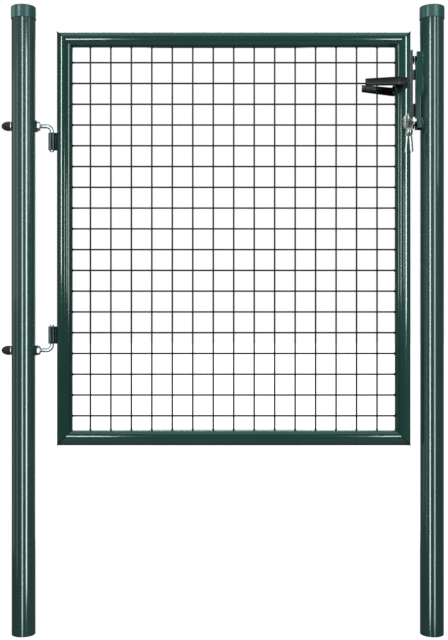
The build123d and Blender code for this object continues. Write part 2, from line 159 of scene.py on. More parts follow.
lever_plastic = material(
    "black_lever_plastic", (0.0080, 0.0080, 0.0088), (0.0110, 0.0110, 0.0120), (0.17, 0.24),
    tone_scale=40, grain=2600, bump=0.12, bump_depth=0.05)
fitting_plastic = material(
    "dark_fitting_plastic", (0.066, 0.064, 0.067), (0.088, 0.085, 0.089), (0.24, 0.34),
    tone_scale=70, grain=2200, bump=0.2, bump_depth=0.06)
rubber = material(
    "black_rubber", (0.004, 0.004, 0.004), (0.008, 0.008, 0.008), (0.62, 0.80),
    tone_scale=60, grain=1500, bump=0.4, bump_depth=0.1, specular=0.3)
dark_zinc = material(
    "dark_zinc_plate", (0.13, 0.137, 0.142), (0.20, 0.207, 0.212), (0.34, 0.50), 1.0,
    tone_scale=50, grain=900, bump=0.15, bump_depth=0.1, cells=260)
nickel = material(
    "nickel_plate", (0.60, 0.59, 0.56), (0.78, 0.77, 0.74), (0.14, 0.30), 1.0,
    tone_scale=90, grain=1200, bump=0.1, bump_depth=0.05)
finishes = {
    "green_coat": green_coat,
    "cap_plastic": cap_plastic,
    "galvanised": galvanised,
    "black_plastic": black_plastic,
    "rubber": rubber,
    "nickel": nickel,
}
node_body = {}
for body_name, members in frame["record"]["behaviour"]["bodies"].items():
    for member in members:
        node_body[member] = body_name
node_slot = {part["node"]: part["material_slot"] for part in frame["record"]["subparts"]}
for name, node in frame["nodes"].items():
    node.data.materials.clear()
    node.data.materials.append(finishes[node_slot[name]])


# Mesh building

SHARP = 38.0
SOFTENED_SHARP = 32.0
BEAD_SHARP = 80.0
ROUNDED_ABOVE = 35.0
FLAT_WITHIN = 0.5
JOIN_WITHIN = 2e-6
WELD_WITHIN = 1e-7


def frame_of(axis):
    """Two directions square to an axis."""
    axis = axis.normalized()
    helper = Z if abs(axis.z) < 0.9 else X
    first = helper.cross(axis).normalized()
    return first, axis.cross(first)


def circle(centre, side, up, radius, segments):
    """Points of a ring about a centre."""
    turns = [2 * math.pi * i / segments for i in range(segments)]
    return [centre + (side * math.cos(turn) + up * math.sin(turn)) * radius for turn in turns]


class Shape:
    """Vertices and faces of one piece, gathered surface by surface."""

    def __init__(self):
        self.verts = []
        self.faces = []

    def rings(self, rings, loop=False):
        """Skin a row of rings; the row closes on itself as a loop, or gets end caps."""
        first = len(self.verts)
        count = len(rings[0])
        for ring in rings:
            self.verts.extend(ring)
        rows = len(rings)
        for row in range(rows if loop else rows - 1):
            a = first + row * count
            b = first + (row + 1) % rows * count
            for i in range(count):
                j = (i + 1) % count
                self.faces.append((a + i, a + j, b + j, b + i))
        if not loop:
            self.faces.append(tuple(first + i for i in range(count)))
            last = first + (rows - 1) * count
            self.faces.append(tuple(last + i for i in reversed(range(count))))
        return self

    def lathe(self, profile, centre, axis, segments, loop=False):
        """Turn a profile of (radius, height) about an axis."""
        side, up = frame_of(axis)
        axis = axis.normalized()
        rings = [circle(centre + axis * height, side, up, radius, segments) for radius, height in profile]
        return self.rings(rings, loop)

    def sweep(self, path, radii, segments, loop=False):
        """A round rod along a path, with a radius at each point."""
        rings = []
        count = len(path)
        side = None
        for i, point in enumerate(path):
            before = path[i - 1] if loop or i else path[0]
            after = path[(i + 1) % count] if loop or i < count - 1 else path[-1]
            along = (after - before).normalized()
            if side is None:
                side = frame_of(along)[0]
            side = (side - along * side.dot(along)).normalized()
            up = along.cross(side)
            ring = []
            for j in range(segments):
                turn = 2 * math.pi * j / segments
                across = side * (math.cos(turn) * radii[i])
                ring.append(point + across + up * (math.sin(turn) * radii[i]))
            rings.append(ring)
        return self.rings(rings, loop)

    def ball(self, centre, radii, segments, rows):
        """An ellipsoid with its poles along Y."""
        rings = []
        for row in range(rows):
            tilt = math.pi * (row + 0.5) / rows
            ring = []
            for i in range(segments):
                turn = 2 * math.pi * i / segments
                ring.append(centre + Vector((
                    radii[0] * math.sin(tilt) * math.cos(turn),
                    -radii[1] * math.cos(tilt),
                    radii[2] * math.sin(tilt) * math.sin(turn),
                )))
            rings.append(ring)
        return self.rings(rings)

    def make(self, name, body, slot, finish, replaced=(), sharp=SHARP):
        """Turn the gathered surfaces into an object that rides on a body."""
        mesh = bpy.data.meshes.new(name)
        mesh.from_pydata([tuple(v) for v in self.verts], [], self.faces)
        work = bmesh.new()
        work.from_mesh(mesh)
        bmesh.ops.remove_doubles(work, verts=work.verts, dist=WELD_WITHIN)
        bmesh.ops.recalc_face_normals(work, faces=work.faces)
        work.to_mesh(mesh)
        work.free()
        place(name, mesh, body, finish, replaced, sharp)


def place(name, mesh, body, finish, replaced, sharp, bevel=0.0):
    """Make a mesh an object of the gate, smooth but for its sharp edges."""
    mesh.materials.clear()
    mesh.materials.append(finish)
    mesh.shade_smooth()
    mesh.set_sharp_from_angle(angle=math.radians(sharp))
    made = bpy.data.objects.new(name, mesh)
    scene.collection.objects.link(made)
    if bevel:
        rounding = made.modifiers.new("rounding", "BEVEL")
        rounding.width = bevel
        rounding.segments = 3
        rounding.limit_method = "ANGLE"
        rounding.angle_limit = math.radians(ROUNDED_ABOVE)
    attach(made, body)
    if replaced:
        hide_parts(*replaced)
    return made


def softened(node, bevel, finish=None):
    """A copy of a CAD node with its flat faces joined up and its edges rounded."""
    work = bmesh.new()
    work.from_mesh(frame["nodes"][node].data)
    bmesh.ops.remove_doubles(work, verts=work.verts, dist=JOIN_WITHIN)
    bmesh.ops.dissolve_limit(work, angle_limit=math.radians(FLAT_WITHIN), verts=work.verts,
                             edges=work.edges)
    mesh = bpy.data.meshes.new(f"{node}_looks")
    verts = [tuple(v.co) for v in work.verts]
    work.verts.index_update()
    faces = [tuple(v.index for v in f.verts) for f in work.faces]
    work.free()
    mesh.from_pydata(verts, [], faces)
    slot = node_slot[node]
    return place(f"{node}_looks", mesh, node_body[node], finish or finishes[slot], (node,),
                 SOFTENED_SHARP, bevel)


def span(node):
    """Lowest corner, highest corner, middle and size of a CAD node."""
    low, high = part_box(node)
    return low, high, (low + high) / 2, high - low


def rippled(count, radius, pitch_points, depth, taper=4):
    """Radii of a weld bead: even ripples, thinner at both ends."""
    radii = []
    for i in range(count):
        even = depth * math.sin(2 * math.pi * i / pitch_points)
        uneven = 0.4 * depth * math.sin(1.7 * i + 0.6)
        ripple = 1 + even + uneven
        end = min(i, count - 1 - i)
        radii.append(radius * ripple * min(1.0, 0.45 + 0.55 * end / taper))
    return radii


# Posts and caps

POST_WALL = 2.0 * MM
POST_EASE = 0.6 * MM
POST_ROWS = 12
CAP_WALL = 1.2 * MM
CAP_TOP = 3.0 * MM
CAP_EDGE = 2.6 * MM
CAP_CROWN = 0.9 * MM


def post_and_cap(post, cap):
    """A smooth tube with eased ends, and its moulded cap."""
    low, high, middle, size = span(post)
    radius = max(size.x, size.y) / 2
    centre = Vector((middle.x, middle.y, 0))
    inner = radius - POST_WALL
    profile = [(radius - POST_EASE, low.z), (radius, low.z + POST_EASE)]
    for step in range(1, POST_ROWS):
        profile.append((radius, low.z + POST_EASE + (size.z - 2 * POST_EASE) * step / POST_ROWS))
    profile += [(radius, high.z - POST_EASE), (radius - POST_EASE, high.z), (inner, high.z), (inner, low.z)]
    Shape().lathe(profile, centre, Z, 128, loop=True).make(
        f"{post}_tube", node_body[post], "green_coat", post_coat, (post,))

    low, high, middle, size = span(cap)
    outer = max(size.x, size.y) / 2
    inner = outer - CAP_WALL
    profile = [(inner, low.z + 0.3 * MM), (outer - 0.5 * MM, low.z), (outer, low.z + 0.5 * MM)]
    profile += [(outer, low.z + size.z * 0.3), (outer, low.z + size.z * 0.6)]
    for step in range(9):
        turn = math.pi / 2 * step / 8
        inset = CAP_EDGE * (1 - math.cos(turn))
        drop = CAP_EDGE * (1 - math.sin(turn))
        profile.append((outer - inset, high.z - CAP_CROWN - drop))
    for share in (0.8, 0.6, 0.4, 0.2, 0.0):
        profile.append(((outer - CAP_EDGE) * share, high.z - CAP_CROWN * share * share))
    profile += [(0, high.z - CAP_TOP), (inner, high.z - CAP_TOP)]
    Shape().lathe(profile, centre, Z, 96, loop=True).make(
        f"{cap}_moulding", node_body[cap], "cap_plastic", cap_plastic, (cap,))


post_and_cap("hinge_post", "hinge_post_cap")
post_and_cap("latch_post", "latch_post_cap")


# Leaf frame

TUBE_WALL = 1.5 * MM
TUBE_SEGMENTS = 96
TUBE_ROWS = 8
CORNER_BEAD = 1.45 * MM
CORNER_BEAD_SINK = 0.7 * MM
CORNER_BEAD_POINTS = 300
CORNER_RIPPLES = 50
rail_low, rail_high, rail_middle, rail_size = span("top_rail")
foot_low, foot_high, foot_middle, foot_size = span("bottom_rail")
tube = rail_size.y / 2
corner = {
    "top_left": (Vector((rail_low.x, 0, rail_high.z)), X, -Z),
    "top_right": (Vector((rail_high.x, 0, rail_high.z)), -X, -Z),
    "low_left": (Vector((foot_low.x, 0, foot_low.z)), X, Z),
    "low_right": (Vector((foot_high.x, 0, foot_low.z)), -X, Z),
}


def mitred(name, start, end, inward):
    """A tube between two outer corners, cut at 45 degrees at both."""
    along = (end - start).normalized()
    length = (end - start).length
    side = along.cross(inward)
    rings = []
    for radius, whole in ((tube, True), (tube - TUBE_WALL, False)):
        row = []
        for step in range(TUBE_ROWS + 1):
            ring = []
            for i in range(TUBE_SEGMENTS):
                turn = 2 * math.pi * i / TUBE_SEGMENTS
                cut = tube + radius * math.cos(turn)
                reach = cut + (length - 2 * cut) * step / TUBE_ROWS
                out = inward * cut + side * (radius * math.sin(turn))
                ring.append(start + out + along * reach)
            row.append(ring)
        rings += row if whole else row[::-1]
    Shape().rings(rings, loop=True).make(f"{name}_tube", "leaf", "green_coat", green_coat, (name,))


mitred("top_rail", corner["top_left"][0], corner["top_right"][0], -Z)
mitred("bottom_rail", corner["low_left"][0], corner["low_right"][0], Z)
mitred("hinge_stile", corner["low_left"][0], corner["top_left"][0], X)
mitred("latch_stile", corner["low_right"][0], corner["top_right"][0], -X)

corner_welds = Shape()
sunk = tube - CORNER_BEAD_SINK
ripple = []
for i in range(CORNER_BEAD_POINTS):
    swell = 0.13 * math.sin(2 * math.pi * i * CORNER_RIPPLES / CORNER_BEAD_POINTS)
    ripple.append(CORNER_BEAD * (1 + swell))
for point, across, upright in corner.values():
    bead = []
    for i in range(CORNER_BEAD_POINTS):
        turn = 2 * math.pi * i / CORNER_BEAD_POINTS
        depth = tube + sunk * math.cos(turn)
        bead.append(point + (across + upright) * depth + Y * (sunk * math.sin(turn)))
    corner_welds.sweep(bead, ripple, 10, loop=True)
corner_welds.make("corner_welds", "leaf", "green_coat", weld_coat, sharp=BEAD_SHARP)


# Mesh panel

WIRE_PITCH_X = 49.5 * MM
WIRE_PITCH_Z = 50.3 * MM
MESH_SHIFT_Z = -1.0 * MM
WIRE_END = 1.2 * MM
mesh_low, mesh_high, mesh_middle, mesh_size = span("mesh_panel")
wire = mesh_size.y / 4
columns = int(mesh_size.x / WIRE_PITCH_X)
rows = int(mesh_size.z / WIRE_PITCH_Z)
wire_x = [mesh_middle.x + (i - (columns - 1) / 2) * WIRE_PITCH_X for i in range(columns)]
wire_z = [mesh_middle.z + MESH_SHIFT_Z + (i - (rows - 1) / 2) * WIRE_PITCH_Z for i in range(rows)]

wires = Shape()
for x in wire_x:
    ends = [mesh_low.z - WIRE_END, *wire_z, mesh_high.z + WIRE_END]
    wires.sweep([Vector((x, -wire, z)) for z in ends], [wire] * len(ends), 14)
for z in wire_z:
    ends = [mesh_low.x - WIRE_END, *wire_x, mesh_high.x + WIRE_END]
    wires.sweep([Vector((x, wire, z)) for x in ends], [wire] * len(ends), 14)
for x in wire_x:
    for z in wire_z:
        wires.ball(Vector((x, 0, z)), (wire * 1.18, wire * 0.8, wire * 1.18), 12, 5)
    for z in (mesh_low.z, mesh_high.z):
        wires.ball(Vector((x, -wire, z)), (wire * 1.55, wire * 1.3, wire * 1.5), 14, 7)
for z in wire_z:
    for x in (mesh_low.x, mesh_high.x):
        wires.ball(Vector((x, wire, z)), (wire * 1.5, wire * 1.3, wire * 1.55), 14, 7)
wires.make("mesh_panel_wires", "leaf", "green_coat", wire_coat, ("mesh_panel",))


# Hinges

THREAD_PITCH = 1.5 * MM
THREAD_DEPTH = 0.62
THREAD_SHAPE = (0.0, 0.3, 0.62, 0.3)
NUT_SEGMENTS = 72
NUT_CHAMFER = (0, 0.25 * MM, 0.5 * MM, 0.75 * MM, 1.0 * MM)
NUT_SLOPE = 1.73
NUT_COUNTERSINK = 0.8 * MM
BEND = 13.0 * MM
WEB = 5.0 * MM
WASHER = 2.6 * MM
WASHER_EASE = 0.4 * MM
DOME_SKIRT = 7.5 * MM
DOME_TOP = 6.0 * MM
SADDLE_SINK = 5.4 * MM
SADDLE_SPREAD = 34
SADDLE_STEPS = 36
BARREL_EASE = 0.9 * MM
BORE_EASE = 0.4 * MM
BARREL_BEAD = 2.9 * MM
BARREL_BEAD_POINTS = 57


def hex_nut(centre, axis, flats, height, bore):
    """A nut with both faces chamfered round."""
    side, up = frame_of(axis)
    axis = axis.normalized()
    half = flats / 2
    heights = list(NUT_CHAMFER) + [height - h for h in reversed(NUT_CHAMFER)]
    rings = []
    for h in heights:
        edge = half * 0.97 + min(h, height - h) * NUT_SLOPE
        ring = []
        for i in range(NUT_SEGMENTS):
            turn = 2 * math.pi * i / NUT_SEGMENTS
            local = (math.degrees(turn) + 30) % 60 - 30
            radius = min(half / math.cos(math.radians(local)), edge)
            ring.append(centre + axis * h + (side * math.cos(turn) + up * math.sin(turn)) * radius)
        rings.append(ring)
    for radius, h in (
        (bore + NUT_COUNTERSINK, height), (bore, height - NUT_COUNTERSINK),
        (bore, NUT_COUNTERSINK), (bore + NUT_COUNTERSINK, 0),
    ):
        rings.append(circle(centre + axis * h, side, up, radius, NUT_SEGMENTS))
    return Shape().rings(rings, loop=True)


def hinge_bolt(level, pin, rod, axis_x, axis_z):
    """A J-bolt with its thread, and the nut on it."""
    low, high, middle, size = span(f"{level}_hinge_bolt")
    nut_low, nut_high, nut_middle, nut_size = span(f"{level}_hinge_nut")
    tip_z = low.z if pin < 0 else high.z
    path = [Vector((low.x, 0, axis_z)), Vector((low.x + 0.8 * MM, 0, axis_z))]
    radii = [rod - 0.9 * MM, rod - 0.1 * MM]
    start = nut_low.x - 2 * MM
    end = nut_high.x + 4.5 * MM
    steps = int((end - start) / THREAD_PITCH * 4)
    for i in range(steps):
        path.append(Vector((start + (end - start) * i / steps, 0, axis_z)))
        radii.append(rod - THREAD_SHAPE[i % 4] * THREAD_PITCH * THREAD_DEPTH)
    path.append(Vector((nut_high.x + 5 * MM, 0, axis_z)))
    radii.append(rod)
    for step in range(17):
        turn = math.pi / 2 * step / 16
        x = axis_x - BEND + BEND * math.sin(turn)
        path.append(Vector((x, 0, axis_z + pin * BEND * (1 - math.cos(turn)))))
        radii.append(rod)
    path += [Vector((axis_x, 0, tip_z - pin * 1.0 * MM)), Vector((axis_x, 0, tip_z))]
    radii += [rod, rod - 1.0 * MM]
    Shape().sweep(path, radii, 32).make(
        f"{level}_hinge_bolt_rod", "posts", "galvanised", galvanised, (f"{level}_hinge_bolt",))
    seat = Vector((nut_low.x, 0, axis_z))
    hex_nut(seat, X, min(nut_size.y, nut_size.z), nut_size.x, rod).make(
        f"{level}_hinge_nut_faces", "posts", "galvanised", galvanised, (f"{level}_hinge_nut",), sharp=22)


def cap_nut(level, rod, axis_z):
    """A domed cap nut and its washer, on the outside of the post."""
    low, high, middle, size = span(f"{level}_cap_nut")
    rim = max(size.y, size.z) / 2
    reach = size.x + SADDLE_SINK
    seat = Vector((high.x + SADDLE_SINK, 0, axis_z))
    under = WASHER + 0.1 * MM
    profile = [(rod, under), (rim - 1.0 * MM, under), (rim - 0.4 * MM, under + 0.6 * MM)]
    for step in range(21):
        turn = math.pi / 2 * step / 20
        profile.append((rim * math.cos(turn), DOME_SKIRT + (reach - DOME_SKIRT) * math.sin(turn)))
    profile += [(0.0, reach - DOME_TOP), (rod, reach - DOME_TOP)]
    Shape().lathe(profile, seat, -X, 64, loop=True).make(
        f"{level}_cap_nut_dome", "posts", "black_plastic", fitting_plastic, (f"{level}_cap_nut",), sharp=30)
    bore = rod + 0.2 * MM
    edge = rim - 0.8 * MM
    profile = [
        (bore, 0), (edge - WASHER_EASE, 0), (edge, WASHER_EASE),
        (edge, WASHER - WASHER_EASE), (edge - WASHER_EASE, WASHER), (bore, WASHER),
    ]
    Shape().lathe(profile, seat, -X, 64, loop=True).make(
        f"{level}_cap_washer", "posts", "galvanised", galvanised)


def outer_saddle(level, axis_z):
    """A thin curved pad between the cap nut and the post."""
    low, high, middle, size = span(f"{level}_outer_saddle")
    post_low, post_high, post_middle, post_size = span("hinge_post")
    near = post_size.x / 2 + 0.05 * MM
    far = post_middle.x - low.x - SADDLE_SINK
    tall = size.z / 2
    rings = []
    for i in range(SADDLE_STEPS + 1):
        turn = math.radians(SADDLE_SPREAD) * (2 * i / SADDLE_STEPS - 1)
        edge = min(1.0, (1 - abs(2 * i / SADDLE_STEPS - 1)) * 9)
        thick = far - (far - near) * 0.55 * (1 - math.sqrt(1 - (1 - edge) ** 2))
        out = Vector((-math.cos(turn), math.sin(turn), 0))
        section = (
            (near, -tall), (thick - 0.4 * MM, -tall), (thick, 0.5 * MM - tall),
            (thick, tall - 0.5 * MM), (thick - 0.4 * MM, tall), (near, tall),
        )
        rings.append([out * radius + Z * (axis_z + z) for radius, z in section])
    Shape().rings(rings).make(f"{level}_outer_saddle_pad", "posts", "black_plastic", fitting_plastic,
                              (f"{level}_outer_saddle",), sharp=40)


def hinge_barrel(level, rod, axis_x):
    """A barrel on the leaf, with the web and the weld beads that hold it."""
    low, high, middle, size = span(f"{level}_hinge_barrel")
    outer = size.y / 2
    bore = rod + 0.3 * MM
    profile = [
        (outer - BARREL_EASE, low.z), (outer, low.z + BARREL_EASE), (outer, middle.z),
        (outer, high.z - BARREL_EASE), (outer - BARREL_EASE, high.z), (bore + BORE_EASE, high.z),
        (bore, high.z - BORE_EASE), (bore, low.z + BORE_EASE), (bore + BORE_EASE, low.z),
    ]
    barrel = Shape().lathe(profile, Vector((axis_x, 0, 0)), Z, 64, loop=True)
    stile_x = corner["low_left"][0].x
    web_near = axis_x + bore + 1.5 * MM
    web_far = stile_x + 1.0 * MM
    foot = []
    for x, face in ((web_near, -1), (web_far, -1), (web_far, 1), (web_near, 1)):
        foot.append(Vector((x, face * WEB / 2, low.z)))
    barrel.rings([foot, [point + Z * size.z for point in foot]])
    barrel.make(f"{level}_hinge_barrel_tube", "leaf", "green_coat", green_coat, (f"{level}_hinge_barrel",))

    beads = Shape()
    bead_x = (axis_x + outer + stile_x) / 2 + 0.1 * MM
    radii = rippled(BARREL_BEAD_POINTS, BARREL_BEAD, 4.6, 0.14)
    for face in (-1, 1):
        path = []
        for i in range(BARREL_BEAD_POINTS):
            z = low.z + 1.2 * MM + (size.z - 2.4 * MM) * i / (BARREL_BEAD_POINTS - 1)
            path.append(Vector((bead_x + 0.25 * MM * math.sin(0.9 * i), face * 2.6 * MM, z)))
        beads.sweep(path, radii, 14)
    beads.make(f"{level}_hinge_barrel_welds", "leaf", "green_coat", weld_coat, sharp=BEAD_SHARP)


def hinge(level, pin):
    """All of a hinge; its pin points down (-1) or up (1)."""
    low, high, middle, size = span(f"{level}_hinge_bolt")
    rod = size.y / 2
    axis_x = high.x - rod
    axis_z = high.z - rod if pin < 0 else low.z + rod
    hinge_bolt(level, pin, rod, axis_x, axis_z)
    cap_nut(level, rod, axis_z)
    outer_saddle(level, axis_z)
    softened(f"{level}_inner_saddle", 1.2 * MM, fitting_plastic)
    hinge_barrel(level, rod, axis_x)


hinge("upper", -1)
hinge("lower", 1)


# Lock, keep and buffers

SCREW_INSET = 11.0 * MM
SCREW_HEAD = (
    (0.0, -0.9), (1.1, -0.8), (1.5, 0.15), (2.6, 0.3),
    (3.7, 0.1), (4.1, -0.3), (4.1, -0.6), (0.0, -1.2),
)
EAR_SETBACK = 8.5 * MM
EAR_SHIFT = 5.0 * MM
KEEP_SHEET = 3.0 * MM
UPPER_EAR = 24.0 * MM
LOWER_EAR = 21.0 * MM
KEEP_WELDS = ((4 * MM, 34 * MM), (58 * MM, 98 * MM), (163 * MM, 180 * MM))
KEEP_BEAD = 2.1 * MM
KEEP_BEAD_STEP = 0.75 * MM


def forend_screws():
    """Two countersunk heads at the ends of the forend."""
    low, high, middle, size = span("lock_forend")
    profile = [(radius * MM, height * MM) for radius, height in SCREW_HEAD]
    heads = Shape()
    for z in (high.z - SCREW_INSET, low.z + SCREW_INSET):
        heads.lathe(profile, Vector((high.x, 0, z)), X, 32, loop=True)
    heads.make("forend_screws", "leaf", "galvanised", galvanised, sharp=30)


def keep():
    """The folded keep, with the webs of its two ears set nearer to the leaf."""
    low, high, middle, size = span("strike_keep")
    slack = 0.05 * MM
    web_near = low.x + EAR_SETBACK - slack
    web_far = low.x + EAR_SETBACK + KEEP_SHEET + slack
    made = softened("strike_keep", 0.6 * MM)
    for vertex in made.data.vertices:
        in_ear = vertex.co.z < low.z + LOWER_EAR + slack or vertex.co.z > high.z - UPPER_EAR - slack
        if in_ear and web_near < vertex.co.x < web_far:
            vertex.co.x -= EAR_SHIFT


def keep_welds():
    """Beads where the keep's front flange meets the latch post."""
    low, high, middle, size = span("strike_keep")
    post_low, post_high, post_middle, post_size = span("latch_post")
    radius = post_size.x / 2 + 0.4 * MM
    y = low.y - 0.3 * MM
    x = post_middle.x - math.sqrt(radius * radius - y * y)
    beads = Shape()
    for start, end in KEEP_WELDS:
        count = int((end - start) / KEEP_BEAD_STEP)
        path = []
        for i in range(count):
            z = high.z - start - (end - start) * i / (count - 1)
            path.append(Vector((x + 0.2 * MM * math.sin(0.8 * i), y, z)))
        beads.sweep(path, rippled(count, KEEP_BEAD, 4.4, 0.13), 14)
    beads.make("strike_keep_welds", "posts", "green_coat", weld_coat, sharp=BEAD_SHARP)


softened("lock_case", 0.8 * MM, dark_zinc)
softened("lock_forend", 0.6 * MM, dark_zinc)
forend_screws()
softened("latch_bolt", 0.9 * MM, dark_zinc)
softened("dead_bolt", 0.7 * MM, dark_zinc)
softened("lock_cylinder", 0.4 * MM)
for level in ("upper", "lower"):
    softened(f"{level}_buffer", 0.9 * MM)
    softened(f"{level}_buffer_screw", 0.25 * MM)
keep()
keep_welds()


# Levers

KINK = 12.0 * MM
LEVER_THICKNESS = 9.0 * MM
ROOT_REACH = 56.0 * MM
END_REACH = 33.0 * MM
ROOT_HEIGHT = 21.0 * MM
END_HEIGHT = 17.0 * MM
END_RISE = 3.0 * MM
NECK = 9.0 * MM
NECK_START = 27.3 * MM
KINK_BLEND = 3.0 * MM
LEVER_SEGMENTS = 40
SQUARENESS = 0.42


def lever(node, face):
    """A lever lofted through rounded sections, on a round neck."""
    low, high, middle, size = span(node)
    spindle_low, spindle_high, spindle, spindle_size = span("lever_spindle")
    root = spindle.x + ROOT_HEIGHT / 2
    end = low.x
    kink = spindle.x - KINK
    slope = (END_REACH - ROOT_REACH) / (end - kink)

    def centre(x):
        """How far the lever's middle stands out from the leaf at x."""
        if x > kink + KINK_BLEND:
            return ROOT_REACH
        if x < kink - KINK_BLEND:
            return ROOT_REACH + slope * (x - kink)
        share = (kink + KINK_BLEND - x) / (2 * KINK_BLEND)
        return ROOT_REACH - slope * KINK_BLEND * share * share

    stations = [root - ROOT_HEIGHT / 2 * (1 - math.cos(math.pi / 2 * i / 9)) for i in range(10)]
    stations += [spindle.x - 3 * MM * i for i in range(1, 8)]
    far = stations[-1]
    stations += [far + (end + 2 * MM - far) * i / 12 for i in range(1, 13)]
    stations += [kink + KINK_BLEND * (1 - i / 4) for i in range(9)]
    stations = sorted(set(round(x, 6) for x in stations), reverse=True)
    stations += [end + 1.0 * MM, end + 0.4 * MM, end + 0.1 * MM, end]
    rings = []
    for x in stations:
        share = max(0.0, min(1.0, (spindle.x - x) / (spindle.x - end)))
        height = ROOT_HEIGHT + (END_HEIGHT - ROOT_HEIGHT) * share
        if x > spindle.x:
            height = 2 * math.sqrt(max((ROOT_HEIGHT / 2) ** 2 - (x - spindle.x) ** 2, (0.4 * MM) ** 2))
        near_end = max(0.0, 1 - (x - end) / (2 * MM))
        near_root = max(0.0, 1 - (root - x) / (2 * MM))
        round_end = 1 - 0.22 * near_end * near_end
        round_root = 1 - 0.3 * near_root * near_root
        mid_z = spindle.z + END_RISE * share
        ring = []
        for i in range(LEVER_SEGMENTS):
            turn = 2 * math.pi * i / LEVER_SEGMENTS
            c, s = math.cos(turn), math.sin(turn)
            across = math.copysign(abs(c) ** SQUARENESS, c) * LEVER_THICKNESS / 2 * round_end * round_root
            tall = math.copysign(abs(s) ** SQUARENESS, s) * height / 2 * (1 - 0.10 * near_end * near_end)
            ring.append(Vector((x, face * (centre(x) + across), mid_z + tall)))
        rings.append(ring)
    shape = Shape().rings(rings)
    profile = [
        (NECK - 0.6 * MM, NECK_START), (NECK, NECK_START + 0.6 * MM), (NECK, ROOT_REACH - 8 * MM),
        (NECK + 0.3 * MM, ROOT_REACH - 5.5 * MM), (NECK + 0.6 * MM, ROOT_REACH - 3 * MM),
    ]
    shape.lathe(profile, Vector((spindle.x, 0, spindle.z)), Y * face, 64)
    shape.make(f"{node}_handle", "lever_pair", "black_plastic", lever_plastic, (node,), sharp=40)


lever("front_lever", -1)
lever("rear_lever", 1)
softened("front_rosette", 0.8 * MM)
softened("rear_rosette", 0.8 * MM)


# Keys

RING_WIRE = 0.8 * MM
RING_LIFT = 0.75 * MM
RING_POINTS = 192
KEY_BOW = 12.0 * MM
KEY_HOLE = 3.5 * MM
KEY_RIM = 2.0 * MM
KEY_EASE = 0.35 * MM
KEY_BLADE = 4.0 * MM
KEY_CUTS = (1.4, 2.8, 1.0, 2.3, 3.2, 1.6)


def key_ring():
    """A split ring of two coils."""
    low, high, middle, size = span("key_ring")
    radius = max(size.x, size.z) / 2 - RING_WIRE * 1.1
    path = []
    for i in range(RING_POINTS + 1):
        turn = 2 * math.pi * 2 * i / RING_POINTS
        lift = RING_LIFT * max(-1.0, min(1.0, (i - RING_POINTS / 2) / 14))
        path.append(middle + Vector((radius * math.cos(turn), lift, radius * math.sin(turn))))
    Shape().sweep(path, [RING_WIRE] * len(path), 12).make(
        "key_ring_coils", "leaf", "nickel", nickel, ("key_ring",))


def key_blank(node):
    """A key with a drilled round bow and a cut blade, laid over the flat CAD key."""
    points = np.array([tuple(v.co) for v in frame["nodes"][node].data.vertices])
    spread = np.linalg.eigh(np.cov((points - points.mean(0)).T))[1]
    through, across, along = (spread[:, i] for i in range(3))
    places = [(points - points.mean(0)) @ way for way in (through, across, along)]
    waist = (places[2].max() + places[2].min()) / 2
    if np.ptp(places[1][places[2] > waist]) > np.ptp(places[1][places[2] < waist]):
        along = -along
        places[2] = -places[2]
    if across[1] + across[2] < 0:
        across = -across
        places[1] = -places[1]
    half = (places[0].max() - places[0].min()) / 2
    top = places[2].min()
    tip = places[2].max() - top
    centre = points.mean(0) + through * (places[0].max() + places[0].min()) / 2 + along * top
    centre = centre + across * (places[1].max() + places[1].min()) / 2

    def spot(w, y, n):
        """A point across, along and through the key, from the top of its bow."""
        return Vector(centre + across * w + along * y + through * n)

    hole_y = KEY_RIM + KEY_HOLE
    rings = []
    for radius, middle, n in (
        (KEY_BOW - KEY_EASE, KEY_BOW, half), (KEY_BOW, KEY_BOW, half - KEY_EASE),
        (KEY_BOW, KEY_BOW, KEY_EASE - half), (KEY_BOW - KEY_EASE, KEY_BOW, -half),
        (KEY_HOLE + KEY_EASE, hole_y, -half), (KEY_HOLE, hole_y, KEY_EASE - half),
        (KEY_HOLE, hole_y, half - KEY_EASE), (KEY_HOLE + KEY_EASE, hole_y, half),
    ):
        ring = []
        for i in range(64):
            turn = 2 * math.pi * i / 64
            ring.append(spot(radius * math.cos(turn), middle + radius * math.sin(turn), n))
        rings.append(ring)
    shape = Shape().rings(rings, loop=True)
    start = 2 * KEY_BOW - 2 * MM
    outline = [
        (-KEY_BLADE, start), (-KEY_BLADE, tip - 3 * MM),
        (-KEY_BLADE + 2.5 * MM, tip), (KEY_BLADE - 3.5 * MM, tip),
    ]
    step = (tip - start - 12 * MM) / len(KEY_CUTS)
    for i, cut in enumerate(KEY_CUTS):
        y = tip - 4 * MM - step * i
        floor = KEY_BLADE - cut * MM
        outline += [(KEY_BLADE - 0.4 * MM, y + 0.5 * MM), (floor, y - step * 0.3), (floor, y - step * 0.6)]
    outline += [(KEY_BLADE, start + 6 * MM), (KEY_BLADE, start)]
    thin = half * 0.95
    shape.rings([[spot(w, y, n) for w, y in outline] for n in (thin, -thin)])
    shape.make(f"{node}_blank", "leaf", "nickel", nickel, (node,), sharp=40)


key_ring()
for name in ("lock_key", "left_spare_key", "right_spare_key", "back_spare_key"):
    key_blank(name)


# Stage, light and camera

LEAF_MIDDLE_X = 0.48
FLOOR_REACH = 30
FLOOR_MIDDLE = (0.49, 0, 0)
COOL = (0.86, 1.0, 0.98)
LEAF_SCALE = 2.42 * MM
IMAGE = (448, 640)
CAMERA_DISTANCE = 2.4
ORIGIN_PIXEL = (23.6, 633.8)
SENSOR = 36


